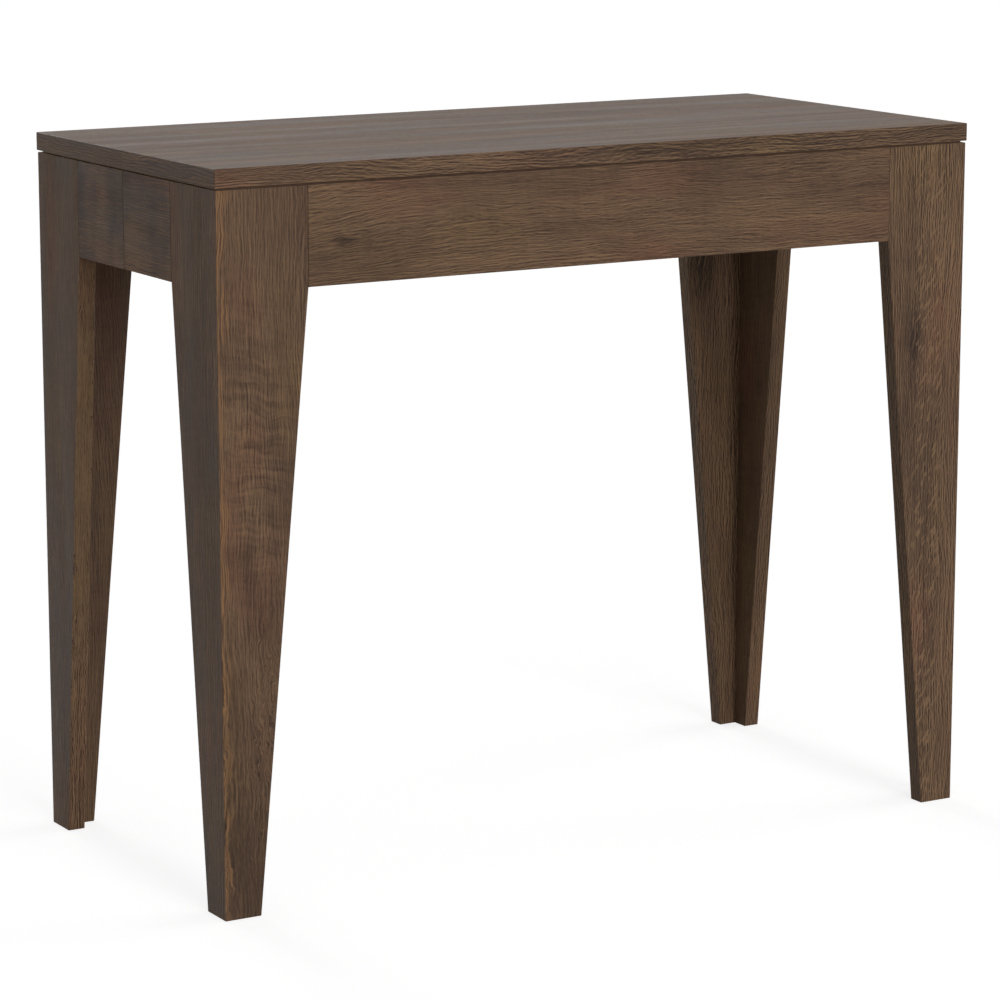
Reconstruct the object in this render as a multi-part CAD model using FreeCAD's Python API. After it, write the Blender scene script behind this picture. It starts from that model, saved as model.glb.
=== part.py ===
"""Extending console table: two half frames on tapered angle legs, joined by telescopic runners.

Millimetres, +Z up, +X along the long side, +Y towards the wall. The origin is on the floor,
under the middle of the closed table. The front half slides out along -Y.
"""
import FreeCAD
import Part
import math
import os
from FreeCAD import Vector

# Overall sizes of the closed table
TOP_WIDTH = 900.0
CLOSED_DEPTH = 420.0
TABLE_HEIGHT = 750.0

# Boards of the top, the aprons and the legs
TOP_THICKNESS = 19.0
BOARD_THICKNESS = 19.0
TOP_OVERHANG = 1.0
SHADOW_GAP = 2.0
SHADOW_GAP_DEPTH = 4.0
SEAM_GAP = 0.05
TOP_EDGE_RADIUS = 1.0
ARRIS = 0.5
APRON_HEIGHT = 100.0
LEG_TOP_WIDTH = 100.0
LEG_FOOT_WIDTH = 40.0

# Battens behind the aprons: corner posts, end cleats and centre cleats
BATTEN_THICKNESS = 22.0
CLEAT_HEIGHT = 24.0
POST_BOTTOM_SETBACK = 4.0
END_CLEAT_SEAM_SETBACK = 15.0
END_CLEAT_POST_CLEARANCE = 8.0
CENTRE_CLEAT_CLEARANCE = 36.0
BATTEN_ARRIS = 1.0
CENTRE_CLEAT_APRON_SCREW_SHARES = (-0.4, 0.0, 0.4)
CENTRE_CLEAT_TOP_SCREW_SHARES = (-0.2, 0.2)
END_CLEAT_APRON_SCREW_SHARES = (-0.4, -0.05, 0.4)
END_CLEAT_TOP_SCREW_SHARES = (-0.22, 0.18)
POST_FACE_SCREW_SHARES = (0.2, 0.7)
POST_END_SCREW_SHARES = (0.35, 0.55)

# Steel plates across the joints between the aprons and the legs
PLATE_LENGTH = 80.0
PLATE_HEIGHT = 40.0
PLATE_THICKNESS = 2.0
PLATE_CORNER_RADIUS = 4.0
PLATE_HEIGHT_SHARE = 0.4
PLATE_SCREW_LENGTH_SHARE = 0.3
PLATE_SCREW_HEIGHT_SHARE = 0.25

# Dowels in the same joints
DOWEL_DIAMETER = 8.0
DOWEL_LENGTH = 40.0
DOWEL_NOSE = 1.0
DOWEL_FIT = 0.05
DOWEL_END_ROOM = 1.0
DOWEL_HEIGHT_SHARES = (0.2, 0.8)

# Countersunk wood screws
SCREW_DIAMETER = 4.0
SCREW_HEAD_DIAMETER = 8.0
SHORT_SCREW_BITE = 14.0
LONG_SCREW_BITE = 13.0
SCREW_TIP_LENGTH = 3.0
SCREW_FIT = 0.05
SCREW_PILOT_ROOM = 1.0
RECESS_SPAN = 4.6
RECESS_WIDTH = 0.9
RECESS_DEPTH = 1.5

# Button-head machine screws
BOLT_DIAMETER = 4.0
BOLT_HEAD_DIAMETER = 7.6
BOLT_HEAD_HEIGHT = 2.2
BOLT_CROWN_SHARE = 0.6
BOLT_FIT = 0.05
BOLT_TIP_SETBACK = 0.4
SOCKET_WIDTH = 2.5
SOCKET_DEPTH = 1.3

# Telescopic runners: bars side by side in two packs, slotted on both flanks
RUNNER_COUNT = 6
RUNNER_WIDTH = 12.0
RUNNER_HEIGHT = 36.0
RUNNER_EDGE = 0.8
RUNNER_GAP = 0.6
RUNNER_TOP_CLEARANCE = 0.5
RUNNER_END_CLEARANCE = 3.0
RUNNER_PACK_INSET = 114.0
SLOT_MOUTH = 8.0
SLOT_LIP = 2.0
SLOT_CAVITY_HEIGHT = 16.0
SLOT_CAVITY_DEPTH = 2.2

# Glide shoes that link neighbouring runners
SHOE_LENGTH = 30.0
SHOE_FIXED_FIT = 0.05
SHOE_SLIDING_FIT = 0.25
SHOE_STOP_CLEARANCE = 2.0

# Angle brackets that hang the first and last runners from the half tops
BRACKET_LENGTH = 120.0
BRACKET_TOP_FLANGE = 25.0
BRACKET_SIDE_FLANGE = 32.0
BRACKET_THICKNESS = 2.0
BRACKET_BEND_RADIUS = 1.0
BRACKET_SCREW_SHARES = (-0.35, 0.0, 0.35)
BRACKET_BOLT_SHARES = (-0.25, 0.25)

# Steel ties between the left and right runners of one stage
TIE_WIDTH = 24.0
TIE_THICKNESS = 3.0
TIE_CORNER_RADIUS = 3.0
TIE_SPACING = 60.0
TIE_BOLT_SPACING = 12.0
TIE_BOLT_WALL = 1.0
TIE_BOLT_ROOM = 1.0
WASHER_DIAMETER = 10.0
WASHER_THICKNESS = 1.5

# Pins that line up the two half tops
PIN_DIAMETER = 8.0
PIN_LENGTH = 30.0
PIN_SEAT_DEPTH = 15.0
PIN_SEAT_FIT = 0.05
PIN_SLIDING_FIT = 0.2
PIN_NOSE = 1.0
PIN_END_ROOM = 1.0
PIN_SPREAD_SHARES = (-1 / 3, 0.0, 1 / 3)

OVERRUN = 1.0
TOLERANCE = 0.001

# Places that follow from the sizes above
ORIGIN = Vector(0, 0, 0)
X_AXIS = Vector(1, 0, 0)
Y_AXIS = Vector(0, 1, 0)
Z_AXIS = Vector(0, 0, 1)
FRAME_X = TOP_WIDTH / 2 - TOP_OVERHANG
FRAME_Y = CLOSED_DEPTH / 2 - TOP_OVERHANG
INNER_X = FRAME_X - BOARD_THICKNESS
INNER_Y = FRAME_Y - BOARD_THICKNESS
JOINT_X = FRAME_X - LEG_TOP_WIDTH
JOINT_Y = FRAME_Y - LEG_TOP_WIDTH
SEAM_Y = SEAM_GAP / 2
UNDERSIDE_Z = TABLE_HEIGHT - TOP_THICKNESS
FRAME_TOP_Z = UNDERSIDE_Z - SHADOW_GAP
APRON_BOTTOM_Z = FRAME_TOP_Z - APRON_HEIGHT
CLEAT_BOTTOM_Z = UNDERSIDE_Z - CLEAT_HEIGHT
CLEAT_MIDDLE_Z = UNDERSIDE_Z - CLEAT_HEIGHT / 2
POST_BOTTOM_Z = APRON_BOTTOM_Z + POST_BOTTOM_SETBACK
POST_HEIGHT = UNDERSIDE_Z - POST_BOTTOM_Z
PLATE_MIDDLE_Z = APRON_BOTTOM_Z + APRON_HEIGHT * PLATE_HEIGHT_SHARE
RUNNER_LENGTH = 2 * (INNER_Y - RUNNER_END_CLEARANCE)
RUNNER_PITCH = RUNNER_WIDTH + RUNNER_GAP
RUNNER_TOP_Z = UNDERSIDE_Z - RUNNER_TOP_CLEARANCE
RUNNER_MIDDLE_Z = RUNNER_TOP_Z - RUNNER_HEIGHT / 2
RUNNER_BOTTOM_Z = RUNNER_TOP_Z - RUNNER_HEIGHT
OUTER_RUNNER_X = TOP_WIDTH / 2 - RUNNER_PACK_INSET - RUNNER_WIDTH / 2
PACK_INNER_X = OUTER_RUNNER_X - (RUNNER_COUNT - 1) * RUNNER_PITCH - RUNNER_WIDTH / 2
CENTRE_CLEAT_LENGTH = 2 * (PACK_INNER_X - BRACKET_TOP_FLANGE - CENTRE_CLEAT_CLEARANCE)
END_CLEAT_LENGTH = INNER_Y - BATTEN_THICKNESS - END_CLEAT_POST_CLEARANCE - END_CLEAT_SEAM_SETBACK
SHORT_SCREW_LENGTH = PLATE_THICKNESS + SHORT_SCREW_BITE
LONG_SCREW_LENGTH = BATTEN_THICKNESS + LONG_SCREW_BITE
TIE_BOLT_GRIP = (RUNNER_HEIGHT - SLOT_CAVITY_HEIGHT) / 2 - TIE_BOLT_WALL - TIE_BOLT_ROOM
STROKE = RUNNER_LENGTH - 2 * SHOE_LENGTH - SHOE_STOP_CLEARANCE


def box(low, high):
    """A block between two corners."""
    return Part.makeBox(high.x - low.x, high.y - low.y, high.z - low.z, low)


def prism(points, sweep):
    """A flat outline swept along a straight line."""
    return Part.Face(Part.makePolygon(points + points[:1])).extrude(sweep)


def turned(points):
    """An outline of (radius, height) pairs turned about the Z axis."""
    outline = [Vector(radius, 0, height) for radius, height in points]
    return Part.Face(Part.makePolygon(outline + outline[:1])).revolve(ORIGIN, Z_AXIS, 360)


def one_solid(shape):
    """The single solid that a cut or a fillet leaves."""
    if len(shape.Solids) != 1:
        raise ValueError("a piece came out as %d solids" % len(shape.Solids))
    return shape.Solids[0]


def place(shape, point, direction):
    """A copy with its local Z axis along a direction and its origin at a point."""
    placed = shape.copy()
    placed.Placement = FreeCAD.Placement(point, FreeCAD.Rotation(Z_AXIS, direction))
    return placed


def across_x(shapes):
    """Mirror copies on the other end of the table."""
    return [shape.mirror(ORIGIN, X_AXIS) for shape in shapes]


def across_y(shapes):
    """Mirror copies in the other half of the table."""
    return [shape.mirror(ORIGIN, Y_AXIS) for shape in shapes]


def drill(piece, tools):
    """Cut every hole tool that reaches into a piece."""
    for tool in tools:
        if piece.BoundBox.intersect(tool.BoundBox):
            piece = piece.cut(tool)
    return one_solid(piece)


def edges_where(shape, test):
    """The edges of which both ends and the middle pass a test on their points."""
    chosen = []
    for edge in shape.Edges:
        ends = [vertex.Point for vertex in edge.Vertexes]
        if all(test(point) for point in ends + [edge.CenterOfMass]):
            chosen.append(edge)
    return chosen


def near(a, b):
    """Whether two lengths agree."""
    return abs(a - b) < TOLERANCE


# Fasteners: each kind gives its solid and the tool that drills for it

def screw(length):
    """Countersunk wood screw with a cross recess; its head is flush with Z = 0 and it points along +Z."""
    head = SCREW_HEAD_DIAMETER / 2
    shank = SCREW_DIAMETER / 2
    body = turned([(0, 0), (head, 0), (shank, head - shank), (shank, length - SCREW_TIP_LENGTH), (0, length)])
    half_span = RECESS_SPAN / 2
    half_width = RECESS_WIDTH / 2
    slot = box(Vector(-half_span, -half_width, -OVERRUN), Vector(half_span, half_width, RECESS_DEPTH))
    cross_slot = slot.copy()
    cross_slot.rotate(ORIGIN, Z_AXIS, 90)
    return one_solid(body.cut(slot).cut(cross_slot))


def screw_hole(length):
    """The countersunk pilot hole of a wood screw."""
    head = SCREW_HEAD_DIAMETER / 2 + SCREW_FIT
    shank = SCREW_DIAMETER / 2 + SCREW_FIT
    depth = length + SCREW_PILOT_ROOM
    return turned([(0, -OVERRUN), (head, -OVERRUN), (head, 0), (shank, head - shank),
                   (shank, depth), (0, depth)])


def bolt(length):
    """Button-head machine screw; its head bears on Z = 0 and its shank points along +Z."""
    head = BOLT_HEAD_DIAMETER / 2
    shank = BOLT_DIAMETER / 2
    rim = -BOLT_HEAD_HEIGHT * (1 - BOLT_CROWN_SHARE)
    crown = (head * BOLT_CROWN_SHARE, -BOLT_HEAD_HEIGHT)
    body = turned([(0, -BOLT_HEAD_HEIGHT), crown, (head, rim), (head, 0),
                   (shank, 0), (shank, length), (0, length)])
    reach = SOCKET_WIDTH / math.sqrt(3)
    corners = [math.radians(60 * corner) for corner in range(6)]
    base = -BOLT_HEAD_HEIGHT - OVERRUN
    outline = [Vector(reach * math.cos(angle), reach * math.sin(angle), base) for angle in corners]
    return one_solid(body.cut(prism(outline, Z_AXIS * (OVERRUN + SOCKET_DEPTH))))


def bolt_hole(depth):
    """The hole of a machine screw."""
    return Part.makeCylinder(BOLT_DIAMETER / 2 + BOLT_FIT, depth + OVERRUN, Vector(0, 0, -OVERRUN))


def peg(diameter, length, nose):
    """A round peg with chamfered noses, along +Z from Z = 0."""
    radius = diameter / 2
    return turned([(0, 0), (radius - nose, 0), (radius, nose), (radius, length - nose),
                   (radius - nose, length), (0, length)])


def dowel_at(joint, direction):
    """A dowel centred on a joint, with the hole that holds it."""
    hole_length = DOWEL_LENGTH + 2 * DOWEL_END_ROOM
    hole = Part.makeCylinder(DOWEL_DIAMETER / 2 + DOWEL_FIT, hole_length)
    dowel = peg(DOWEL_DIAMETER, DOWEL_LENGTH, DOWEL_NOSE)
    return (place(dowel, joint - direction * (DOWEL_LENGTH / 2), direction),
            place(hole, joint - direction * (hole_length / 2), direction))


# One quarter of the frame: the front left leg, its end apron and what ties them together

def rebated(board, low, high):
    """A board with the step cut along its outer top edge that leaves the shadow gap under the top."""
    step = box(Vector(low.x, low.y, FRAME_TOP_Z), Vector(high.x, high.y, UNDERSIDE_Z + OVERRUN))
    return one_solid(board.cut(step))


def leg_board():
    """One of a leg's two boards, mitred at the outer corner: X runs across its face, Y into its thickness."""
    tip = ARRIS
    thick = BOARD_THICKNESS
    plan = [Vector(tip, 0, 0), Vector(LEG_TOP_WIDTH, 0, 0), Vector(LEG_TOP_WIDTH, thick, 0),
            Vector(thick, thick, 0), Vector(tip / 2, tip / 2, 0)]
    face = [Vector(0, 0, 0), Vector(LEG_FOOT_WIDTH, 0, 0), Vector(LEG_TOP_WIDTH, 0, APRON_BOTTOM_Z),
            Vector(LEG_TOP_WIDTH, 0, UNDERSIDE_Z), Vector(0, 0, UNDERSIDE_Z)]
    board = one_solid(prism(plan, Z_AXIS * UNDERSIDE_Z).common(prism(face, Y_AXIS * thick)))
    taper = (LEG_TOP_WIDTH - LEG_FOOT_WIDTH) / APRON_BOTTOM_Z

    def on_inner_edge(point):
        width = min(LEG_TOP_WIDTH, LEG_FOOT_WIDTH + taper * point.z)
        on_a_face = near(point.y, 0) or near(point.y, thick)
        return near(point.x, width) and on_a_face

    def on_foot(point):
        return near(point.z, 0)

    def on_mitre(point):
        return near(point.x, point.y)

    mitre_edges = [edge.hashCode() for edge in edges_where(board, on_mitre)]
    foot_edges = [edge for edge in edges_where(board, on_foot) if edge.hashCode() not in mitre_edges]
    board = one_solid(board.makeChamfer(ARRIS, edges_where(board, on_inner_edge) + foot_edges))
    return rebated(board, Vector(-OVERRUN, -OVERRUN), Vector(LEG_TOP_WIDTH + OVERRUN, SHADOW_GAP_DEPTH))


def leg_face_board():
    """The board of the front left leg that faces the front."""
    board = leg_board()
    board.translate(Vector(-FRAME_X, -FRAME_Y, 0))
    return board


def leg_end_board():
    """The board of the front left leg that faces the table's end."""
    board = leg_board().mirror(ORIGIN, Vector(1, -1, 0))
    board.translate(Vector(-FRAME_X, -FRAME_Y, 0))
    return board


def end_apron():
    """The half apron between the front left leg and the seam."""
    board = box(Vector(-FRAME_X, -JOINT_Y, APRON_BOTTOM_Z), Vector(-INNER_X, -SEAM_Y, UNDERSIDE_Z))

    def on_eased_edge(point):
        upright = near(point.x, -FRAME_X) and (near(point.y, -JOINT_Y) or near(point.y, -SEAM_Y))
        lower = near(point.z, APRON_BOTTOM_Z) and (near(point.x, -FRAME_X) or near(point.x, -INNER_X))
        return upright or lower

    board = one_solid(board.makeChamfer(ARRIS, edges_where(board, on_eased_edge)))
    return rebated(board, Vector(-FRAME_X - OVERRUN, -JOINT_Y - OVERRUN),
                   Vector(-FRAME_X + SHADOW_GAP_DEPTH, OVERRUN))


def batten(low, high):
    """A sawn batten with lightly broken arrises."""
    bar = box(low, high)
    return one_solid(bar.makeChamfer(BATTEN_ARRIS, bar.Edges))


def corner_post():
    """The upright batten inside the front left leg; the top rests on it."""
    return batten(Vector(-INNER_X, -INNER_Y, POST_BOTTOM_Z),
                  Vector(-INNER_X + BATTEN_THICKNESS, -INNER_Y + BATTEN_THICKNESS, UNDERSIDE_Z))


def end_cleat():
    """The batten behind the left end apron; the top is screwed down to it."""
    seam_end = -END_CLEAT_SEAM_SETBACK
    return batten(Vector(-INNER_X, seam_end - END_CLEAT_LENGTH, CLEAT_BOTTOM_Z),
                  Vector(-INNER_X + BATTEN_THICKNESS, seam_end, UNDERSIDE_Z))


def joint_plate(centre, inward):
    """A plate with rounded corners on the inner faces of an apron and a leg."""
    half_length = PLATE_LENGTH / 2
    half_height = PLATE_HEIGHT / 2
    plate = box(Vector(-half_length, -half_height, 0), Vector(half_length, half_height, PLATE_THICKNESS))
    corners = [edge for edge in plate.Edges if near(abs(edge.tangentAt(edge.FirstParameter).z), 1)]
    plate = one_solid(plate.makeFillet(PLATE_CORNER_RADIUS, corners))
    along = Z_AXIS.cross(inward)
    turn = FreeCAD.Rotation(along, Z_AXIS, inward, "ZXY")
    plate.Placement = FreeCAD.Placement(centre, turn)
    return plate


def plate_screw_points(centre, inward):
    """The screw heads of a joint plate, flush with its inner face."""
    along = Z_AXIS.cross(inward) * (PLATE_LENGTH * PLATE_SCREW_LENGTH_SHARE)
    up = Z_AXIS * (PLATE_HEIGHT * PLATE_SCREW_HEIGHT_SHARE)
    middle = centre + inward * PLATE_THICKNESS
    return [middle + along * x + up * z for x in (-1, 1) for z in (-1, 1)]


def quarter_screws():
    """Head points and directions of the quarter's short and long wood screws."""
    short = []
    for centre, inward in plate_seats():
        short += [(point, -inward) for point in plate_screw_points(centre, inward)]
    post_x = -INNER_X + BATTEN_THICKNESS
    post_y = -INNER_Y + BATTEN_THICKNESS
    middle = BATTEN_THICKNESS / 2
    cleat_y = -END_CLEAT_SEAM_SETBACK - END_CLEAT_LENGTH / 2
    long = []
    for share in POST_FACE_SCREW_SHARES:
        long.append((Vector(-INNER_X + middle, post_y, POST_BOTTOM_Z + POST_HEIGHT * share), -Y_AXIS))
    for share in POST_END_SCREW_SHARES:
        long.append((Vector(post_x, -INNER_Y + middle, POST_BOTTOM_Z + POST_HEIGHT * share), -X_AXIS))
    for share in END_CLEAT_APRON_SCREW_SHARES:
        long.append((Vector(post_x, cleat_y + END_CLEAT_LENGTH * share, CLEAT_MIDDLE_Z), -X_AXIS))
    for share in END_CLEAT_TOP_SCREW_SHARES:
        long.append((Vector(-INNER_X + middle, cleat_y + END_CLEAT_LENGTH * share, CLEAT_BOTTOM_Z), Z_AXIS))
    return short, long


def plate_seats():
    """Centres and inward directions of the quarter's two joint plates."""
    return [(Vector(-JOINT_X, -INNER_Y, PLATE_MIDDLE_Z), Y_AXIS),
            (Vector(-INNER_X, -JOINT_Y, PLATE_MIDDLE_Z), X_AXIS)]


def quarter_dowels():
    """Dowels and dowel holes of the quarter's two apron joints."""
    board_x = -FRAME_X + BOARD_THICKNESS / 2
    board_y = -FRAME_Y + BOARD_THICKNESS / 2
    pairs = []
    for share in DOWEL_HEIGHT_SHARES:
        height = APRON_BOTTOM_Z + APRON_HEIGHT * share
        pairs.append(dowel_at(Vector(-JOINT_X, board_y, height), X_AXIS))
        pairs.append(dowel_at(Vector(board_x, -JOINT_Y, height), Y_AXIS))
    return [dowel for dowel, hole in pairs], [hole for dowel, hole in pairs]


# The front half that both ends share, and the whole frame

def apron():
    """The long apron between the two front legs."""
    board = box(Vector(-JOINT_X, -FRAME_Y, APRON_BOTTOM_Z), Vector(JOINT_X, -INNER_Y, UNDERSIDE_Z))

    def on_eased_edge(point):
        upright = near(point.y, -FRAME_Y) and near(abs(point.x), JOINT_X)
        lower = near(point.z, APRON_BOTTOM_Z) and (near(point.y, -FRAME_Y) or near(point.y, -INNER_Y))
        return upright or lower

    board = one_solid(board.makeChamfer(ARRIS, edges_where(board, on_eased_edge)))
    return rebated(board, Vector(-JOINT_X - OVERRUN, -FRAME_Y - OVERRUN),
                   Vector(JOINT_X + OVERRUN, -FRAME_Y + SHADOW_GAP_DEPTH))


def centre_cleat():
    """The batten behind the long apron; the top is screwed down to it."""
    half_length = CENTRE_CLEAT_LENGTH / 2
    return batten(Vector(-half_length, -INNER_Y, CLEAT_BOTTOM_Z),
                  Vector(half_length, -INNER_Y + BATTEN_THICKNESS, UNDERSIDE_Z))


def centre_cleat_screws():
    """Head points and directions of the centre cleat's wood screws."""
    inner_face = -INNER_Y + BATTEN_THICKNESS
    middle = -INNER_Y + BATTEN_THICKNESS / 2
    screws = []
    for share in CENTRE_CLEAT_APRON_SCREW_SHARES:
        screws.append((Vector(CENTRE_CLEAT_LENGTH * share, inner_face, CLEAT_MIDDLE_Z), -Y_AXIS))
    for share in CENTRE_CLEAT_TOP_SCREW_SHARES:
        screws.append((Vector(CENTRE_CLEAT_LENGTH * share, middle, CLEAT_BOTTOM_Z), Z_AXIS))
    return screws


def half_top():
    """The front half of the top, rounded on its outer edges and square at the seam."""
    half_width = TOP_WIDTH / 2
    front = -CLOSED_DEPTH / 2
    board = box(Vector(-half_width, front, UNDERSIDE_Z), Vector(half_width, -SEAM_Y, TABLE_HEIGHT))

    def on_rounded_edge(point):
        on_rim = near(point.y, front) or near(abs(point.x), half_width)
        on_a_face = near(point.z, UNDERSIDE_Z) or near(point.z, TABLE_HEIGHT)
        at_corner = near(point.y, front) and near(abs(point.x), half_width)
        return at_corner or (on_rim and on_a_face)

    return one_solid(board.makeFillet(TOP_EDGE_RADIUS, edges_where(board, on_rounded_edge)))


def fasten(solid, hole, seats):
    """Copies of a fastener and of its hole tool at their head points."""
    return ([place(solid, point, direction) for point, direction in seats],
            [place(hole, point, direction) for point, direction in seats])


def front_frame():
    """Every piece of the front half's frame by name, and the tools that drill its top."""
    short_seats, long_seats = quarter_screws()
    long_screw = screw(LONG_SCREW_LENGTH)
    long_hole = screw_hole(LONG_SCREW_LENGTH)
    short, short_holes = fasten(screw(SHORT_SCREW_LENGTH), screw_hole(SHORT_SCREW_LENGTH), short_seats)
    long, long_holes = fasten(long_screw, long_hole, long_seats)
    cleat_screws, cleat_holes = fasten(long_screw, long_hole, centre_cleat_screws())
    dowels, dowel_holes = quarter_dowels()
    tools = short_holes + long_holes + dowel_holes
    plates = [drill(joint_plate(centre, inward), tools) for centre, inward in plate_seats()]
    post = drill(corner_post(), tools)
    cleat = drill(end_cleat(), tools)
    pieces = {"apron": [drill(apron(), tools + across_x(tools) + cleat_holes)],
              "centre_cleat": [drill(centre_cleat(), cleat_holes)],
              "corner_posts": [post] + across_x([post]),
              "end_cleats": [cleat] + across_x([cleat]),
              "joint_plates": plates + across_x(plates),
              "dowels": dowels + across_x(dowels),
              "short_screws": short + across_x(short),
              "long_screws": long + across_x(long) + cleat_screws}
    boards = {"leg_face_board": leg_face_board(), "leg_end_board": leg_end_board(), "end_apron": end_apron()}
    for name, board in boards.items():
        drilled = drill(board, tools)
        pieces["left_" + name] = [drilled]
        pieces["right_" + name] = across_x([drilled])
    return pieces, long_holes + across_x(long_holes) + cleat_holes


# Telescopic runners: runner 0 hangs from the rear half, the last one from the front half

def runner_x(number):
    """Centre of a runner of the left pack, counted inwards."""
    return -OUTER_RUNNER_X + number * RUNNER_PITCH


def runner(number):
    """A left runner: an extruded bar with a T-slot along each flank."""
    flank = RUNNER_WIDTH / 2
    half_height = RUNNER_HEIGHT / 2
    mouth = SLOT_MOUTH / 2
    cavity = SLOT_CAVITY_HEIGHT / 2
    lip = flank - SLOT_LIP
    web = lip - SLOT_CAVITY_DEPTH
    edge = RUNNER_EDGE
    upper = [(flank - edge, half_height), (flank, half_height - edge), (flank, mouth), (lip, mouth),
             (lip, cavity), (web, cavity)]
    right = upper + [(x, -z) for x, z in reversed(upper)]
    left = [(-x, z) for x, z in reversed(right)]
    rear = RUNNER_LENGTH / 2
    outline = [Vector(runner_x(number) + x, rear, RUNNER_MIDDLE_Z + z) for x, z in right + left]
    return prism(outline, -Y_AXIS * RUNNER_LENGTH)


def shoe(flank_x, outward, rear_end):
    """A glide shoe held in the slot of its own runner's flank and sliding in the slot of the next one."""
    mouth = SLOT_MOUTH / 2 - SHOE_SLIDING_FIT
    held = SLOT_CAVITY_HEIGHT / 2 - SHOE_FIXED_FIT
    sliding = SLOT_CAVITY_HEIGHT / 2 - SHOE_SLIDING_FIT
    held_face = -SLOT_LIP - SHOE_FIXED_FIT
    held_back = -SLOT_LIP - SLOT_CAVITY_DEPTH + SHOE_FIXED_FIT
    sliding_face = RUNNER_GAP + SLOT_LIP + SHOE_SLIDING_FIT
    sliding_back = RUNNER_GAP + SLOT_LIP + SLOT_CAVITY_DEPTH - SHOE_SLIDING_FIT
    upper = [(held_back, held), (held_face, held), (held_face, mouth), (sliding_face, mouth),
             (sliding_face, sliding), (sliding_back, sliding)]
    lower = [(reach, -height) for reach, height in reversed(upper)]
    outline = [Vector(flank_x + outward * reach, rear_end, RUNNER_MIDDLE_Z + height)
               for reach, height in upper + lower]
    return prism(outline, -Y_AXIS * SHOE_LENGTH)


def shoes(number):
    """Both packs' shoes on one runner: a rear one for the runner before it, a front one for the next."""
    left = []
    if number > 0:
        left.append(shoe(runner_x(number) - RUNNER_WIDTH / 2, -1, RUNNER_LENGTH / 2))
    if number < RUNNER_COUNT - 1:
        left.append(shoe(runner_x(number) + RUNNER_WIDTH / 2, 1, SHOE_LENGTH - RUNNER_LENGTH / 2))
    return left + across_x(left)


def bracket(flank_x, outward, middle_y):
    """An angle bracket between the flank of a runner and the underside of a half top."""
    side = BRACKET_THICKNESS
    profile = [(0, 0), (BRACKET_TOP_FLANGE, 0), (BRACKET_TOP_FLANGE, -side), (side, -side),
               (side, -BRACKET_SIDE_FLANGE), (0, -BRACKET_SIDE_FLANGE)]
    rear = middle_y + BRACKET_LENGTH / 2
    outline = [Vector(flank_x + outward * reach, rear, UNDERSIDE_Z + height) for reach, height in profile]
    angle = prism(outline, -Y_AXIS * BRACKET_LENGTH)

    def on_inner_bend(point):
        return near(point.x, flank_x + outward * side) and near(point.z, UNDERSIDE_Z - side)

    def on_outer_bend(point):
        return near(point.x, flank_x) and near(point.z, UNDERSIDE_Z)

    angle = one_solid(angle.makeFillet(BRACKET_BEND_RADIUS, edges_where(angle, on_inner_bend)))
    outer_radius = BRACKET_BEND_RADIUS + BRACKET_THICKNESS
    return one_solid(angle.makeFillet(outer_radius, edges_where(angle, on_outer_bend)))


def hung_runners(number, outward, half):
    """A left runner hung from a half top, with its bracket and fasteners, mirrored to both packs."""
    flank_x = runner_x(number) + outward * RUNNER_WIDTH / 2
    middle_y = half * INNER_Y / 2
    screw_x = flank_x + outward * (BRACKET_THICKNESS + BRACKET_TOP_FLANGE) / 2
    screw_z = UNDERSIDE_Z - BRACKET_THICKNESS
    screw_seats = [(Vector(screw_x, middle_y + BRACKET_LENGTH * share, screw_z), Z_AXIS)
                   for share in BRACKET_SCREW_SHARES]
    bolt_x = flank_x + outward * BRACKET_THICKNESS
    bolt_seats = [(Vector(bolt_x, middle_y + BRACKET_LENGTH * share, RUNNER_MIDDLE_Z), -X_AXIS * outward)
                  for share in BRACKET_BOLT_SHARES]
    through = BRACKET_THICKNESS + RUNNER_WIDTH - SLOT_LIP - SLOT_CAVITY_DEPTH
    screws, screw_holes = fasten(screw(SHORT_SCREW_LENGTH), screw_hole(SHORT_SCREW_LENGTH), screw_seats)
    bolts, bolt_holes = fasten(bolt(through - BOLT_TIP_SETBACK), bolt_hole(through), bolt_seats)
    angle = drill(bracket(flank_x, outward, middle_y), screw_holes + bolt_holes)
    bar = drill(runner(number), bolt_holes)
    pieces = {"runner_pair": [bar] + across_x([bar]),
              "runner_brackets": [angle] + across_x([angle]),
              "runner_bolts": bolts + across_x(bolts),
              "glide_shoes": shoes(number)}
    return pieces, screws + across_x(screws), screw_holes + across_x(screw_holes)


def stage(number):
    """One sliding stage: a runner of each pack, tied together underneath."""
    tie_y = TIE_SPACING * (RUNNER_COUNT / 2 - 1 / 2 - number)
    half_length = -runner_x(number) + RUNNER_WIDTH / 2
    tie_top = RUNNER_BOTTOM_Z - WASHER_THICKNESS
    tie_bottom = tie_top - TIE_THICKNESS
    half_width = TIE_WIDTH / 2
    tie = box(Vector(-half_length, tie_y - half_width, tie_bottom),
              Vector(half_length, tie_y + half_width, tie_top))
    corners = [edge for edge in tie.Edges if near(abs(edge.tangentAt(edge.FirstParameter).z), 1)]
    tie = one_solid(tie.makeFillet(TIE_CORNER_RADIUS, corners))
    length = TIE_THICKNESS + WASHER_THICKNESS + TIE_BOLT_GRIP
    seats = [(Vector(runner_x(number), tie_y + side * TIE_BOLT_SPACING / 2, tie_bottom), Z_AXIS)
             for side in (-1, 1)]
    bolts, holes = fasten(bolt(length), bolt_hole(length + TIE_BOLT_ROOM), seats)
    disc = Part.makeCylinder(WASHER_DIAMETER / 2, WASHER_THICKNESS)
    washer_lift = Z_AXIS * TIE_THICKNESS
    washers = [drill(place(disc, point + washer_lift, direction), holes) for point, direction in seats]
    bar = drill(runner(number), holes)
    return {"runner_pair": [bar] + across_x([bar]),
            "tie": [drill(tie, holes + across_x(holes))],
            "tie_bolts": bolts + across_x(bolts),
            "tie_washers": washers + across_x(washers),
            "glide_shoes": shoes(number)}


# Pins across the seam

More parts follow.
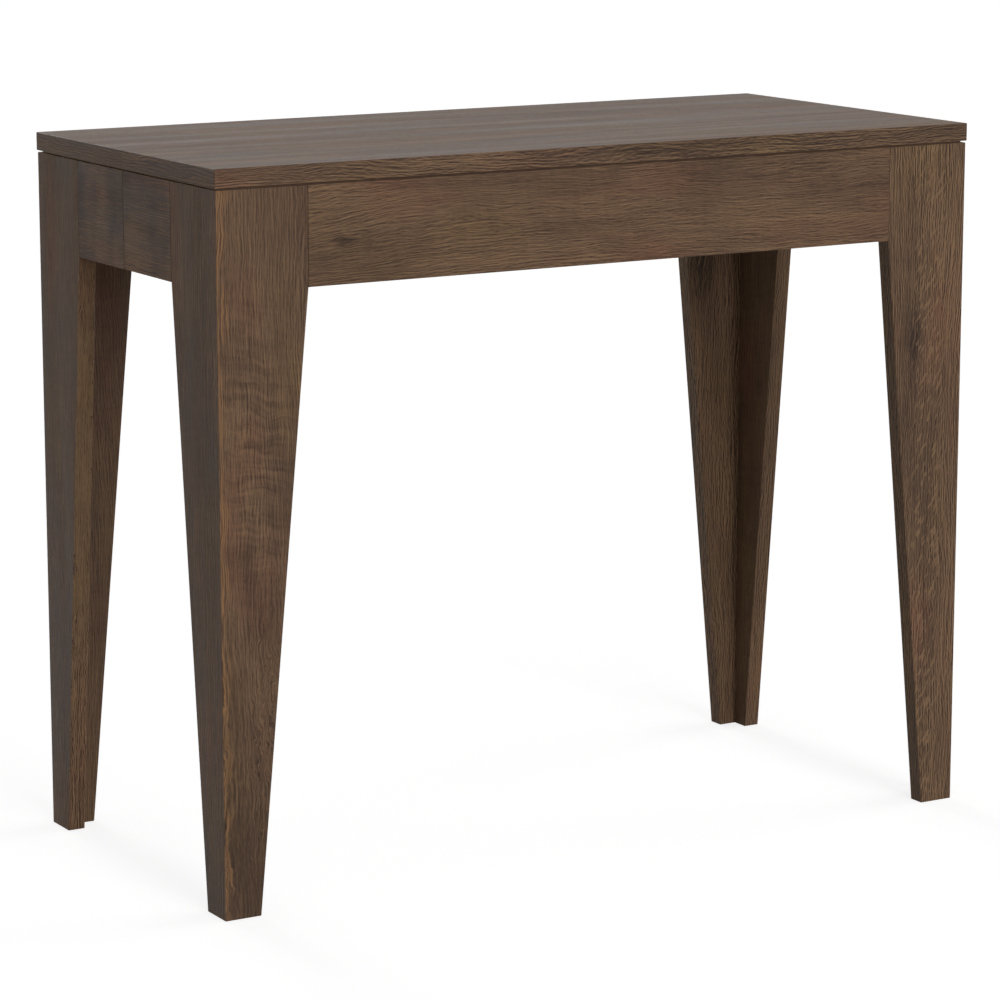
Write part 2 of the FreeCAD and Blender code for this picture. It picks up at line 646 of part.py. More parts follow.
def alignment_pins():
    """The pins in the rear half top, their seats there and the holes that take them in the front half top."""
    inner_end = SEAM_Y + PIN_SEAT_DEPTH
    reach = PIN_LENGTH - PIN_SEAT_DEPTH - SEAM_GAP + PIN_END_ROOM
    middle_z = TABLE_HEIGHT - TOP_THICKNESS / 2
    pin = peg(PIN_DIAMETER, PIN_LENGTH, PIN_NOSE)
    seat = Part.makeCylinder(PIN_DIAMETER / 2 + PIN_SEAT_FIT, PIN_SEAT_DEPTH + OVERRUN)
    socket = Part.makeCylinder(PIN_DIAMETER / 2 + PIN_SLIDING_FIT, reach + OVERRUN)
    places = [TOP_WIDTH * share for share in PIN_SPREAD_SHARES]
    pins = [place(pin, Vector(x, inner_end, middle_z), -Y_AXIS) for x in places]
    seats = [place(seat, Vector(x, inner_end, middle_z), -Y_AXIS) for x in places]
    sockets = [place(socket, Vector(x, -SEAM_Y - reach, middle_z), Y_AXIS) for x in places]
    return pins, seats, sockets


# The table, node by node

frame_pieces, top_holes = front_frame()
pins, pin_seats, pin_sockets = alignment_pins()
rear_runners, rear_bracket_screws, rear_bracket_holes = hung_runners(0, -1, 1)
front_runners, front_bracket_screws, front_bracket_holes = hung_runners(RUNNER_COUNT - 1, 1, -1)
blank_top = half_top()

nodes = {}
for name, solids in frame_pieces.items():
    nodes["front_" + name] = solids
    nodes["rear_" + name] = across_y(solids)
nodes["front_top"] = [drill(blank_top, top_holes + front_bracket_holes + pin_sockets)]
nodes["rear_top"] = [drill(across_y([blank_top])[0], across_y(top_holes) + rear_bracket_holes + pin_seats)]
nodes["front_short_screws"] = nodes["front_short_screws"] + front_bracket_screws
nodes["rear_short_screws"] = nodes["rear_short_screws"] + rear_bracket_screws
nodes["alignment_pins"] = pins
for name, solids in rear_runners.items():
    nodes["rear_" + name] = solids
for name, solids in front_runners.items():
    nodes["front_" + name] = solids
for number in range(1, RUNNER_COUNT - 1):
    for name, solids in stage(number).items():
        nodes["stage_%d_%s" % (number, name)] = solids

os.makedirs("parts", exist_ok=True)
for name, solids in nodes.items():
    shape = solids[0] if len(solids) == 1 else Part.makeCompound(solids)
    shape.exportStep("parts/%s.step" % name)
print("nodes %d, stroke of each stage %.1f mm" % (len(nodes), STROKE))
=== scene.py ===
from math import pi, radians

import bpy
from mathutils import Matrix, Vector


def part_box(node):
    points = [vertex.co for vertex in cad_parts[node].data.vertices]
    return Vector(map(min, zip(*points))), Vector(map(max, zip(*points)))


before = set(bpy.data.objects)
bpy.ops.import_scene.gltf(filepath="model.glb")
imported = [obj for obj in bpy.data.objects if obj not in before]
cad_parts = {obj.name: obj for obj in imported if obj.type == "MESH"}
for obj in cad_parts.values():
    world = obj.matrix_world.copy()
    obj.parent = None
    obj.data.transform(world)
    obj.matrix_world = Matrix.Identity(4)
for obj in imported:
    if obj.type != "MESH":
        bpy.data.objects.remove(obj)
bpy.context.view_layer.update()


# Leg boards: each leg is two tapered boards that meet in a mitre along the outer corner.
# The boards are 19 mm chipboard with a printed dark walnut decor, its grain upright, and edge bands of it.
# The top-edge rebate makes the shadow gap, painted with shade on face boards and with light on end boards.


class Wire:
    """One output of a material's node tree. Sums on wires add Math nodes to that tree."""

    def __init__(self, tree, socket=None):
        self.tree = tree
        self.socket = socket

    def add(self, kind, settings=None, inputs=None, output=0):
        """Adds a node with its settings, then its socket values or links, and gives one of its outputs."""
        node = self.tree.nodes.new(kind)
        for name, value in (settings or {}).items():
            if name == "stops":
                for place, colour in value[2:]:
                    node.color_ramp.elements.new(place)
                for element, (place, colour) in zip(node.color_ramp.elements, sorted(value)):
                    element.position = place
                    element.color = colour
            else:
                setattr(node, name, value)
        for name, value in (inputs or {}).items():
            if isinstance(value, Wire):
                self.tree.links.new(value.socket, node.inputs[name])
            else:
                node.inputs[name].default_value = value
        return Wire(self.tree, node.outputs[output])

    def maths(self, operation, *values):
        return self.add("ShaderNodeMath", {"operation": operation}, dict(enumerate(values)))

    def __add__(self, other):
        return self.maths("ADD", self, other)

    def __radd__(self, other):
        return self.maths("ADD", other, self)

    def __sub__(self, other):
        return self.maths("SUBTRACT", self, other)

    def __rsub__(self, other):
        return self.maths("SUBTRACT", other, self)

    def __mul__(self, other):
        return self.maths("MULTIPLY", self, other)

    def __rmul__(self, other):
        return self.maths("MULTIPLY", other, self)

    def __abs__(self):
        return self.maths("ABSOLUTE", self)

    def __gt__(self, other):
        return self.maths("GREATER_THAN", self, other)

    def split(self):
        """The three parts of a vector."""
        return [self.add("ShaderNodeSeparateXYZ", None, {0: self}, part) for part in range(3)]

    def either(self, other, share):
        """This value where share is 0, the other where it is 1."""
        return self.add("ShaderNodeMix", {"data_type": "FLOAT"}, {0: share, 2: self, 3: other})

    def between(self, low, high):
        """The colour low where this value is 0, and the colour high where it is 1."""
        return self.add("ShaderNodeMix", {"data_type": "RGBA"}, {0: self, 6: low, 7: high}, 2)

    def over(self, colour, share, blend="MIX"):
        """This colour with another laid over it by share."""
        settings = {"data_type": "RGBA", "blend_type": blend}
        return self.add("ShaderNodeMix", settings, {0: share, 6: self, 7: colour}, 2)

    def rise(self, low, high, start=0.0, end=1.0):
        """A smooth step from start to end while this value goes from low to high."""
        settings = {"interpolation_type": "SMOOTHSTEP"}
        return self.add("ShaderNodeMapRange", settings, {0: self, 1: low, 2: high, 3: start, 4: end})

    def cloud(self, scales, shift, detail=1.0, roughness=0.5):
        """Noise around 0 on this vector, with so many waves to the metre along each of its parts."""
        settings = {"operation": "MULTIPLY_ADD"}
        place = self.add("ShaderNodeVectorMath", settings, {0: self, 1: scales, 2: (0.0, 0.0, shift)})
        inputs = {"Vector": place, "Scale": 1.0, "Detail": detail, "Roughness": roughness}
        return self.add("ShaderNodeTexNoise", None, inputs) - 0.5


def tint(red, green, blue):
    """A colour as a screen shows it, 0 to 255, as Blender takes it."""
    shares = [part / 255 for part in (red, green, blue)]
    return (*[s / 12.92 if s <= 0.04045 else ((s + 0.055) / 1.055) ** 2.4 for s in shares], 1.0)


def finish_of(name, **constants):
    """A new material and a wire to add its nodes from, with what is the same all over set on its shader."""
    material = bpy.data.materials.new(name)
    material.use_nodes = True
    shader = material.node_tree.nodes["Principled BSDF"]
    for socket, value in constants.items():
        shader.inputs[socket.replace("_", " ")].default_value = value
    return material, Wire(material.node_tree)


def coat(material, colour, roughness, height, depth):
    """Feeds the shader of a material with its colour, its roughness and a relief of a depth in metres."""
    tree = material.node_tree
    shader = tree.nodes["Principled BSDF"]
    relief = colour.add("ShaderNodeBump", None, {"Strength": 1.0, "Distance": depth, "Height": height})
    tree.links.new(colour.socket, shader.inputs["Base Color"])
    tree.links.new(roughness.socket, shader.inputs["Roughness"])
    tree.links.new(relief.socket, shader.inputs["Normal"])


def wear(material, *names):
    """Puts a material on CAD nodes."""
    for name in names:
        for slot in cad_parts[name].material_slots:
            slot.material = material


WALNUT_DEEP = tint(46, 34, 26)
WALNUT_DARK = tint(74, 56, 43)
WALNUT_MID = tint(97, 75, 57)
WALNUT_LIGHT = tint(128, 101, 75)
RED_CAST = (1.08, 0.95, 0.96, 1.0)
GOLD_CAST = (1.06, 1.07, 0.96, 1.0)
WALNUT_PORE = tint(44, 32, 24)
WALNUT_SAP = tint(132, 98, 67)
RING_PITCH = 0.0034
FIBRE_WIDTH = 0.0009
SEAM_LINE = 0.0006
BAND_LIFT = 0.05
RAY_ALONG = 0.9
RAY_ACROSS = 0.44


def spot(u, v, along, across, length, width):
    """1 at a place along and across the grain, fading to 0 over a length and a width round it."""
    along_off = (u - along) * (1 / length)
    across_off = (v - across) * (1 / width)
    return u.maths("EXPONENT", along_off * along_off * -1 - across_off * across_off)


def walnut(name, grain, cut, edges="", joints="", gloss=0.13, shade=0.0, contrast=1.0, blotches=1.0,
           wave=1.0, banding=1.2, red=0.0, sap=None, lined=None, rays=None, rippled=None, bands=None,
           knots=(), groove=None, seam=None):
    """The printed decor on one board.
    grain names the run of the fibres on the sides that face x, y and z.
    cut is where on the sheet the board came from, so that no two boards show the same figure.
    edges names the axes that its banded edges face, whose figure is bolder by banding.
    joints names the axis along which the board meets its neighbours, where its chamfers get painted shade.
    shade, contrast, blotches, wave and red say how dark, bold, blotched, wavy and reddish the figure is; on
    a few boards shade is painted light and shade.
    sap is a pale border, as the place of its rim and its width.
    lined is a strip of plain rings and rays a strip of slanted flecks, as a middle and a width.
    rippled is where the fibres buckle, as a place along and across the grain, a length and a width.
    knots are such places too, each with how dark it is.
    bands are how many darker places there are to the metre, along and across the grain, and how strong.
    groove is the height above which the board's rebate is painted over, and the colour that stands for its
    light and shade.
    seam is the y of an edge that closes on another board, with a fine dark line painted there as shade."""
    material, wire = finish_of(name, IOR=1.5, Specular_IOR_Level=gloss)
    axes = dict(zip("xyz", wire.add("ShaderNodeTexCoord", None, None, "Object").split()))
    facing = [abs(part) for part in wire.add("ShaderNodeNewGeometry", None, None, "Normal").split()]
    faces_x = facing[0] > 0.75
    faces_y = (facing[1] > 0.6) * (1 - faces_x)
    faces = {"x": faces_x, "y": faces_y}
    across = [(set("xyz") - {side, run}).pop() for side, run in zip("xyz", grain)]
    u = axes[grain[2]].either(axes[grain[1]], faces_y).either(axes[grain[0]], faces_x)
    v = axes[across[2]].either(axes[across[1]], faces_y).either(axes[across[0]], faces_x)
    sheet = faces_x * 3.7 + faces_y * 9.1 + cut
    flat = wire.add("ShaderNodeCombineXYZ", None, {0: u, 1: v, 2: sheet})
    sway = flat.cloud((2.0, 8.0, 1.0), 0.0)
    bend = flat.cloud((10.0, 26.0, 1.0), 5.0, 2.0)
    flow = v + sway * 0.04 + bend * (0.011 * wave)
    eyes = None
    curdle = flat.cloud((70.0, 120.0, 1.0), 61.0, 2.0)
    for along_at, across_at, length, width, dark in knots:
        curdled = (u + curdle * (2.0 * length), v + curdle * (1.5 * width))
        near = spot(*curdled, along_at, across_at, length, width)
        flow = flow - (v - across_at) * near * (dark * 2.3)
        eyes = near * dark if eyes is None else eyes + near * dark
    if sap is not None:
        rim, width = sap
        curl = flat.cloud((26.0, 50.0, 1.0), 83.0, 2.0)
        border = abs(v - rim) + curl * 0.035
        rimmed = border.rise(0.0, width, 1.0, 0.0)
        flow = flow + curl * rimmed * 0.01
    grown = wire.add("ShaderNodeCombineXYZ", None, {0: u, 1: flow, 2: sheet})
    heart = grown.cloud((1.6, 30.0, 1.0), 13.0, 2.0)
    rings = grown.cloud((9.0, 140.0, 1.0), 21.0)
    beside = wire.add("ShaderNodeCombineXYZ", None, {0: u, 1: flow + FIBRE_WIDTH, 2: sheet})
    fibres = grown.cloud((34.0, 700.0, 1.0), 27.0, 0.0) - beside.cloud((34.0, 700.0, 1.0), 27.0, 0.0)
    pores = grown.cloud((140.0, 700.0, 1.0), 33.0, 0.0) - beside.cloud((140.0, 700.0, 1.0), 33.0, 0.0)
    dashes = grown.cloud((45.0, 300.0, 1.0), 39.0, 0.0)
    patch = flat.cloud((6.0, 14.0, 1.0), 43.0, 3.0, 0.55)
    smudge = flat.cloud((40.0, 90.0, 1.0), 47.0, 1.0)
    rust = flat.cloud((5.0, 14.0, 1.0), 57.0, 2.0) + red
    tilted = wire.add("ShaderNodeCombineXYZ", None, {0: u + v * 0.2 + bend * 0.03, 1: v, 2: sheet})
    ripple = tilted.cloud((210.0, 30.0, 1.0), 71.0)
    zones = flat.cloud((2.0, 20.0, 1.0), 91.0)
    ribs = wire.maths("SINE", flow * (2 * pi / RING_PITCH) + rings * 9) * (1 + dashes * 4)
    ribbed = zones.rise(-0.1, 0.2, 0.35, 1.0)
    if lined is not None:
        middle, width = lined
        ribbed = wire.maths("MAXIMUM", ribbed, abs(v - middle).rise(width * 0.3, width * 0.6, 1.5, 0.0))
    bold = patch.rise(-0.15, 0.15, 0.85, 1.2) * contrast
    for side in edges:
        bold = bold * (1 + faces[side] * banding)
        shade = shade - faces[side] * BAND_LIFT
        ribbed = wire.maths("MAXIMUM", ribbed, faces[side])
    buckled = 0.15
    if rippled is not None:
        buckled = spot(u, v, *rippled) * 0.8 + 0.1
    tone = 0.53 - shade + heart * 0.4 + (patch * 0.55 + smudge * 0.22) * blotches + ripple * buckled
    tone = tone + (rings * 0.16 + fibres * 0.45 + pores * 0.4 + ribs * ribbed * 0.055) * bold
    if eyes is not None:
        tone = tone - eyes
    if bands is not None:
        along_count, across_count, strength = bands
        tone = tone + grown.cloud((along_count, across_count, 1.0), 103.0) * strength
    stops = [(0.0, WALNUT_DEEP), (1.0, WALNUT_LIGHT), (0.32, WALNUT_DARK), (0.55, WALNUT_MID)]
    colour = wire.add("ShaderNodeValToRGB", {"stops": stops}, {0: tone})
    colour = colour.over(RED_CAST, rust.rise(0.0, 0.25), "MULTIPLY")
    colour = colour.over(GOLD_CAST, rust.rise(0.0, -0.25), "MULTIPLY")
    if sap is not None:
        colour = colour.over(WALNUT_SAP, rimmed * (0.45 + fibres * 2.5))
    if rays is not None:
        middle, width = rays
        slant_u = u * RAY_ALONG + v * RAY_ACROSS
        slant_v = v * RAY_ALONG - u * RAY_ACROSS
        slanted = wire.add("ShaderNodeCombineXYZ", None, {0: slant_u, 1: slant_v, 2: sheet})
        flecks = slanted.cloud((75.0, 300.0, 1.0), 97.0).rise(0.04, 0.18)
        shine = flecks * abs(v - middle).rise(width * 0.2, width * 0.6, 0.7, 0.0)
        colour = colour.over(WALNUT_LIGHT, shine)
    pored = pores.rise(0.1, 0.25)
    colour = colour.over(WALNUT_PORE, pored * 0.12)
    squarest = wire.maths("MAXIMUM", wire.maths("MAXIMUM", facing[0], facing[1]), facing[2])
    arris = squarest.rise(0.85, 0.97, 1.0, 0.0)
    # Painted shade: the chamfers where the board meets its neighbours are darkened.
    if joints:
        painted_shade_line = arris * (facing["xyz".index(joints)] > 0.3)
        colour = colour.over(WALNUT_DEEP, painted_shade_line * 0.6)
        arris = arris - painted_shade_line
    colour = colour.over(WALNUT_LIGHT, arris * 0.12)
    # The rebate above the sill is painted one flat colour: painted shade on some boards, painted light on
    # others.
    if groove is not None:
        sill, painted_groove_light = groove
        colour = colour.over(painted_groove_light, axes["z"] > sill)
    # Painted shade: a fine dark line along the edge that closes on the other half of the top.
    if seam is not None:
        painted_shade_line = 1 - (abs(axes["y"] - seam) > SEAM_LINE)
        colour = colour.over(WALNUT_DEEP, painted_shade_line * 0.7)
    roughness = 0.52 + pored * 0.14 + patch * 0.12 + heart * 0.35
    coat(material, colour, roughness, fibres * 0.4 - pored * 0.4, 0.00008)
    return material


left_low, left_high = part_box("front_left_leg_face_board")
right_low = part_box("front_right_leg_face_board")[0]
# The left end boards are darker by painted shade, and have a bolder, more blotched figure.
LEFT_END_FIGURE_AND_SHADE = {"shade": 0.07, "contrast": 1.5, "blotches": 1.7}
LEG_FIGURES = {
    "front_left_leg_face_board": {
        "sap": (left_low[0], 0.011),
        "lined": (left_high[0] - 0.009, 0.014),
        "rippled": (0.47, left_high[0] - 0.061, 0.11, 0.035),
        # This knot is a broad darker patch low on the leg, near the foot.
        "knots": [(0.10, left_high[0] - 0.081, 0.12, 0.06, 0.14)],
        "contrast": 1.0,
        "shade": 0.045,
    },
    "front_right_leg_face_board": {
        "lined": (right_low[0] + 0.013, 0.024),
        "rays": (right_low[0] + 0.057, 0.05),
        "knots": [(0.525, right_low[0] + 0.037, 0.03, 0.010, 0.3)],
        "contrast": 2.4,
        "shade": 0.02,
        "wave": 1.2,
    },
    "front_left_leg_end_board": LEFT_END_FIGURE_AND_SHADE,
    # Its negative knot is a long pale streak of painted light on the board's front edge.
    "rear_left_leg_end_board": {**LEFT_END_FIGURE_AND_SHADE, "knots": [(0.40, left_high[0] - 0.091, 0.25, 0.03, -0.5)]},
    # The rear right face board is lighter all over by painted light, through its negative shade.
    "rear_right_leg_face_board": {
        "knots": [(0.56, right_low[0] + 0.026, 0.04, 0.012, 0.3)],
        "contrast": 2.6,
        "shade": -0.03,
        "wave": 1.6,
    },
}
LEG_CONTRAST = 1.1
CUT_STEP = 1.37
GROOVE_HEIGHT = 0.002
SILL_MARGIN = 0.0001
# Painted shade for the rebates of the face boards and aprons, and painted light for those of the end boards.
GROOVE_SHADE = tint(76, 58, 45)
GROOVE_LIGHT = tint(204, 176, 144)
sill = left_high[2] - GROOVE_HEIGHT + SILL_MARGIN
cut = 0.0
LEG_BOARDS = (("face", "zzx", "x", GROOVE_SHADE), ("end", "zzy", "y", GROOVE_LIGHT))
for half in ("front", "rear"):
    for side in ("left", "right"):
        for board, grain, edge, painted_groove_light in LEG_BOARDS:
            node = f"{half}_{side}_leg_{board}_board"
            cut += CUT_STEP
            figure = {"contrast": LEG_CONTRAST, "groove": (sill, painted_groove_light), **LEG_FIGURES.get(node, {})}
            wear(walnut(node + "_decor", grain, cut, edge, **figure), node)


# Aprons: the rails that join the legs, of the same board, flush with the legs' outer faces.
# The end aprons are in two halves that part at the seam in the middle of the depth.
# Dowels and steel plates on the inside hold them to the legs, and the grain runs along each rail.
APRON_FIGURES = {
    "front_apron": {
        "knots": [(left_high[0] + 0.039, left_high[2] - 0.059, 0.012, 0.006, 0.3)],
        "wave": 1.5,
        "contrast": 1.35,
    },
    # The left end aprons are darker by painted shade, like the left end boards.
    "front_left_end_apron": {
        "contrast": 1.6,
        "blotches": 2.0,
        "shade": 0.04,
        "bands": (26.0, 13.0, 1.3),
        "red": 0.2,
    },
    "rear_left_end_apron": {"contrast": 1.6, "blotches": 2.0, "shade": 0.05, "bands": (26.0, 13.0, 1.3)},
}
# Joint chamfers get painted shade; rebates get painted shade on the long aprons and painted light on the end
# aprons.
RAILS = (
    ("apron", "zxx", "x", GROOVE_SHADE),
    ("left_end_apron", "yzy", "y", GROOVE_LIGHT),
    ("right_end_apron", "yzy", "y", GROOVE_LIGHT),
)
for half in ("front", "rear"):
    for rail, grain, run, painted_groove_light in RAILS:
        node = f"{half}_{rail}"
        cut += CUT_STEP
        figure = {"joints": run, "groove": (sill, painted_groove_light), **APRON_FIGURES.get(node, {})}
        wear(walnut(node + "_decor", grain, cut, **figure), node)


# Corner posts and cleats: planed softwood battens glued and screwed inside the frame.
# The posts stiffen the mitred corners, and the top is screwed down to the cleats.
# They are left bare, so they show pale early wood and darker late wood along their length.
PINE_EARLY = tint(214, 180, 132)
PINE_LATE = tint(178, 128, 78)
PINE_KNOT = tint(122, 78, 46)


def softwood(name, grain, cut):
    """Bare planed pine with its fibres along one axis."""
    material, wire = finish_of(name, Specular_IOR_Level=0.25)
    axes = dict(zip("xyz", wire.add("ShaderNodeTexCoord", None, None, "Object").split()))
    rest = sorted(set("xyz") - {grain})
    solid = wire.add("ShaderNodeCombineXYZ", None, {0: axes[grain], 1: axes[rest[0]], 2: axes[rest[1]]})
    sway = solid.cloud((3.0, 9.0, 9.0), cut)
    radius = axes[rest[0]] * 0.8 + axes[rest[1]] * 0.6 + sway * 0.03
    grown = wire.add("ShaderNodeCombineXYZ", None, {0: axes[grain], 1: radius, 2: axes[rest[1]]})
    rings = grown.cloud((1.5, 260.0, 8.0), cut + 3.0, 1.0)
    fibres = grown.cloud((30.0, 1500.0, 700.0), cut + 7.0, 1.0)
    knots = solid.cloud((14.0, 30.0, 30.0), cut + 11.0, 1.0)
    late = rings.rise(-0.05, 0.2)
    colour = late.between(PINE_EARLY, PINE_LATE)
    colour = colour.over(PINE_KNOT, knots.rise(0.2, 0.34, 0.0, 0.7))
    colour = colour.over(PINE_LATE, fibres.rise(0.0, 0.3, 0.0, 0.35))
    coat(material, colour, 0.62 + fibres * 0.2, fibres + rings, 0.0001)
    return material


for half in ("front", "rear"):
    for batten, grain in (("corner_posts", "z"), ("centre_cleat", "x"), ("end_cleats", "y")):
        cut += CUT_STEP
        wear(softwood(f"{half}_{batten}_pine", grain, cut), f"{half}_{batten}")


# Dowels and pins: turned beech pegs with chamfered noses, 8 mm across.
# The dowels are glued into the apron joints, and the three pins line up the halves of the top at the seam.
BEECH_PALE = tint(206, 164, 122)
BEECH_FLECK = tint(150, 100, 66)


def beech(name, grain):
    """Turned beech, pale pinkish brown with short dark flecks along the fibres."""
    material, wire = finish_of(name, Specular_IOR_Level=0.3)
    axes = dict(zip("xyz", wire.add("ShaderNodeTexCoord", None, None, "Object").split()))
    rest = sorted(set("xyz") - {grain})
    solid = wire.add("ShaderNodeCombineXYZ", None, {0: axes[grain], 1: axes[rest[0]], 2: axes[rest[1]]})
    flecks = solid.cloud((160.0, 1500.0, 1500.0), 2.0)
    bands = solid.cloud((6.0, 300.0, 300.0), 4.0, 1.0)
    colour = flecks.rise(0.08, 0.2).between(BEECH_PALE, BEECH_FLECK)
    colour = colour.over(BEECH_FLECK, bands.rise(0.0, 0.25, 0.0, 0.3))
    coat(material, colour, 0.5 + bands * 0.3, flecks, 0.00005)
    return material


wear(beech("dowel_beech", "x"), "front_dowels", "rear_dowels")
wear(beech("pin_beech", "y"), "alignment_pins")


# Joint plates, runner brackets and ties: cut, drilled and bent from zinc plated sheet steel.
# The plates bridge the apron joints on the inside, the brackets hang the outer runners from the top,
# and a flat tie under each free stage keeps its two runners square.
ZINC_PALE = tint(196, 200, 204)
ZINC_DULL = tint(150, 156, 164)


def zinc(name, pale, dull, roughness, scale):
    """Plated steel with the cloudy crystals of its zinc and fine draw marks."""
    material, wire = finish_of(name, Metallic=1.0)
    place = wire.add("ShaderNodeTexCoord", None, None, "Object")
    crystals = wire.add("ShaderNodeTexVoronoi", None, {"Vector": place, "Scale": scale}, "Color")
    cells = crystals.split()[0]
    haze = place.cloud((60.0, 60.0, 60.0), 3.0, 3.0)
    marks = place.cloud((40.0, 900.0, 900.0), 8.0, 2.0)
    share = cells * 0.5 + haze + marks * 0.4
    colour = share.rise(0.0, 0.8).between(pale, dull)
    coat(material, colour, roughness + haze * 0.2 + marks * 0.15, marks + haze, 0.00004)
    return material


sheet_zinc = zinc("zinc_sheet", ZINC_PALE, ZINC_DULL, 0.36, 240.0)
wear(sheet_zinc, "front_joint_plates", "rear_joint_plates", "front_runner_brackets", "rear_runner_brackets")
wear(sheet_zinc, "stage_1_tie", "stage_2_tie", "stage_3_tie", "stage_4_tie")


# Screws, bolts and washers: bought fasteners of steel with a bright zinc plating.
# Cross recessed screws hold the battens, plates and brackets, and socket head bolts hold the runners.
FASTENER_PALE = tint(206, 204, 196)
FASTENER_DULL = tint(160, 158, 154)
bright_zinc = zinc("zinc_fastener", FASTENER_PALE, FASTENER_DULL, 0.28, 700.0)
for half in ("front", "rear"):
    wear(bright_zinc, f"{half}_short_screws", f"{half}_long_screws", f"{half}_runner_bolts")
for stage in range(1, 5):
    wear(bright_zinc, f"stage_{stage}_tie_bolts", f"stage_{stage}_tie_washers")


# Runners: bars of drawn aluminium with a T-slot in each side, anodised to a satin silver.
# Six stand side by side in each pack and slide along one another as the table opens.
ALUMINIUM_PALE = tint(200, 201, 203)
ALUMINIUM_DULL = tint(168, 170, 174)
material, wire = finish_of("runner_anodised", Metallic=1.0)
place = wire.add("ShaderNodeTexCoord", None, None, "Object")
drawn = place.cloud((1600.0, 6.0, 1600.0), 2.0, 2.0)
streaks = place.cloud((300.0, 2.0, 300.0), 5.0, 2.0)
rubbed = place.cloud((40.0, 12.0, 60.0), 9.0, 3.0)
share = (drawn + streaks + rubbed * 0.6).rise(-0.3, 0.3)
colour = share.between(ALUMINIUM_PALE, ALUMINIUM_DULL)
coat(material, colour, 0.34 + rubbed * 0.2 + drawn * 0.15, drawn + streaks * 0.5, 0.00003)
wear(material, "front_runner_pair", "rear_runner_pair")
for stage in range(1, 5):
    wear(material, f"stage_{stage}_runner_pair")


# Glide shoes: moulded black acetal blocks that sit in the T-slots of two neighbouring runners.
# Each is pressed into one runner, slides in the next and stops it at the end of the stroke.
ACETAL_BLACK = tint(34, 34, 36)
ACETAL_RUBBED = tint(70, 70, 72)
material, wire = finish_of("shoe_acetal", Specular_IOR_Level=0.5)
place = wire.add("ShaderNodeTexCoord", None, None, "Object")
mould = place.cloud((1800.0, 1800.0, 1800.0), 4.0, 1.0)
rubbed = place.cloud((120.0, 20.0, 120.0), 8.0, 2.0)
share = rubbed.rise(0.0, 0.3) * 0.5 + mould * 0.3
colour = share.between(ACETAL_BLACK, ACETAL_RUBBED)
coat(material, colour, 0.42 + rubbed * 0.3, mould, 0.00003)
wear(material, "front_glide_shoes", "rear_glide_shoes")
for stage in range(1, 5):
    wear(material, f"stage_{stage}_glide_shoes")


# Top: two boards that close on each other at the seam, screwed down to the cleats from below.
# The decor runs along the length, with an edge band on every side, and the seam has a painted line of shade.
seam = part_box("front_top")[1][1]
TOP_FIGURE = {"gloss": 0.15, "shade": 0.06, "contrast": 1.3, "banding": 0.6, "bands": (4.0, 60.0, 0.6)}
for half in ("front", "rear"):
    cut += CUT_STEP
    wear(walnut(f"{half}_top_decor", "yxx", cut, "xy", seam=seam, **TOP_FIGURE), f"{half}_top")


# Floor: a plain pale studio floor that goes on past the camera's view, and is clear from below.
# It reads white to the camera and in gloss, keeps the table's soft shadow, and gives back half the light.
FLOOR_SIZE = 80.0
FLOOR_GREY = (0.5, 0.5, 0.5, 1.0)
FLOOR_GLOW = 0.78
WHITE = (1.0, 1.0, 1.0, 1.0)


def ray(wire, kind):
    """1 where the light path is of a kind."""
    return wire.add("ShaderNodeLightPath", None, None, f"Is {kind} Ray")


def shown(wire):
    """1 for the rays that show the surroundings: to the camera, in gloss and through clear pieces."""
    plain = wire.maths("MAXIMUM", ray(wire, "Camera"), ray(wire, "Glossy"))
    return wire.maths("MAXIMUM", plain, ray(wire, "Transmission"))


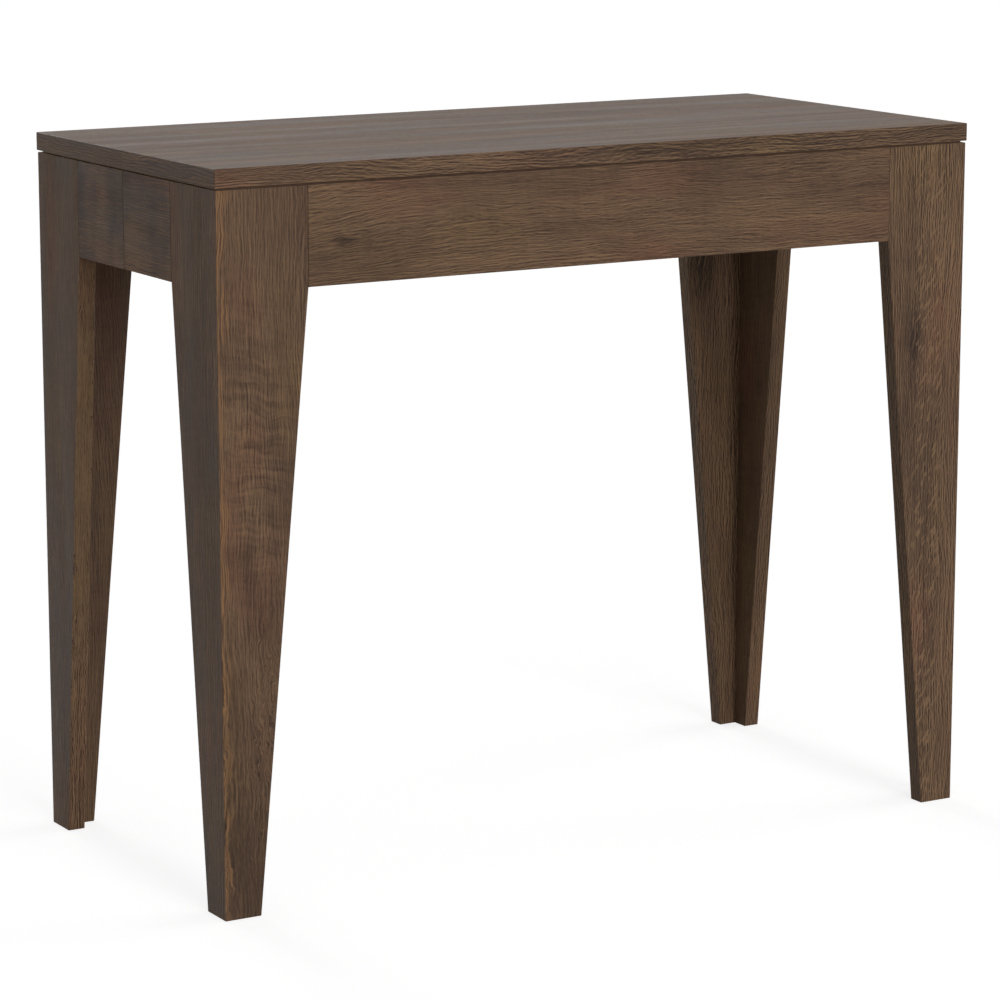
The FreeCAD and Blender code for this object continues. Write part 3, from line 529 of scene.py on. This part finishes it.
bpy.ops.mesh.primitive_grid_add(x_subdivisions=4, y_subdivisions=4, size=FLOOR_SIZE)
floor = bpy.context.object
floor.name = "studio_floor"
material = bpy.data.materials.new("floor_paper")
material.use_nodes = True
tree = material.node_tree
tree.nodes.clear()
wire = Wire(tree)
paper = wire.add("ShaderNodeBsdfDiffuse", None, {"Color": FLOOR_GREY})
glow = wire.add("ShaderNodeEmission", None, {"Color": WHITE, "Strength": FLOOR_GLOW})
both = wire.add("ShaderNodeAddShader", None, {0: paper, 1: glow})
above = wire.add("ShaderNodeMixShader", None, {0: shown(wire), 1: paper, 2: both})
below = ray(wire, "Camera") * wire.add("ShaderNodeNewGeometry", None, None, "Backfacing")
clear = wire.add("ShaderNodeBsdfTransparent")
face = wire.add("ShaderNodeMixShader", None, {0: below, 1: above, 2: clear})
output = tree.nodes.new("ShaderNodeOutputMaterial")
tree.links.new(face.socket, output.inputs["Surface"])
floor.data.materials.append(material)


# Studio light: a wide soft key low in front, weaker ones low behind and at the right, and an even pale room.
# The room is white to the camera and in gloss, and gives less light than that to the table.
ROOM_LIGHT = 0.21
world = bpy.data.worlds.new("studio_room")
bpy.context.scene.world = world
world.use_nodes = True
tree = world.node_tree
tree.nodes.clear()
wire = Wire(tree)
room = wire.add("ShaderNodeBackground", None, {"Color": WHITE, "Strength": ROOM_LIGHT})
white = wire.add("ShaderNodeBackground", None, {"Color": WHITE, "Strength": 1.0})
face = wire.add("ShaderNodeMixShader", None, {0: shown(wire), 1: room, 2: white})
output = tree.nodes.new("ShaderNodeOutputWorld")
tree.links.new(face.socket, output.inputs["Surface"])


def lamp(name, strength, spread, height, turn):
    """A soft distant light. Its spread, height above the floor and turn round the table are in degrees."""
    light = bpy.data.lights.new(name, "SUN")
    light.energy = strength
    light.angle = radians(spread)
    holder = bpy.data.objects.new(name, light)
    holder.rotation_euler = (radians(90 - height), 0.0, radians(turn))
    bpy.context.scene.collection.objects.link(holder)


lamp("key_light", strength=2.24, spread=30.0, height=9.0, turn=0.0)
lamp("rear_light", strength=1.1, spread=20.0, height=14.0, turn=179.0)
lamp("right_light", strength=1.1, spread=40.0, height=12.0, turn=88.0)


# Camera: the photograph's angle, from the front left and a little above the top.
SENSOR_WIDTH = 36.0
LENS = 137.4
CAMERA_PLACE = (-2.067, -3.483, 1.146)
CAMERA_DIP = 11.16
CAMERA_TURN = -30.58
camera_data = bpy.data.cameras.new("camera")
camera_data.sensor_width = SENSOR_WIDTH
camera_data.lens = LENS
camera = bpy.data.objects.new("camera", camera_data)
camera.location = CAMERA_PLACE
camera.rotation_euler = (radians(90 - CAMERA_DIP), 0.0, radians(CAMERA_TURN))
bpy.context.scene.collection.objects.link(camera)
bpy.context.scene.camera = camera
bpy.context.scene.view_settings.view_transform = "Standard"
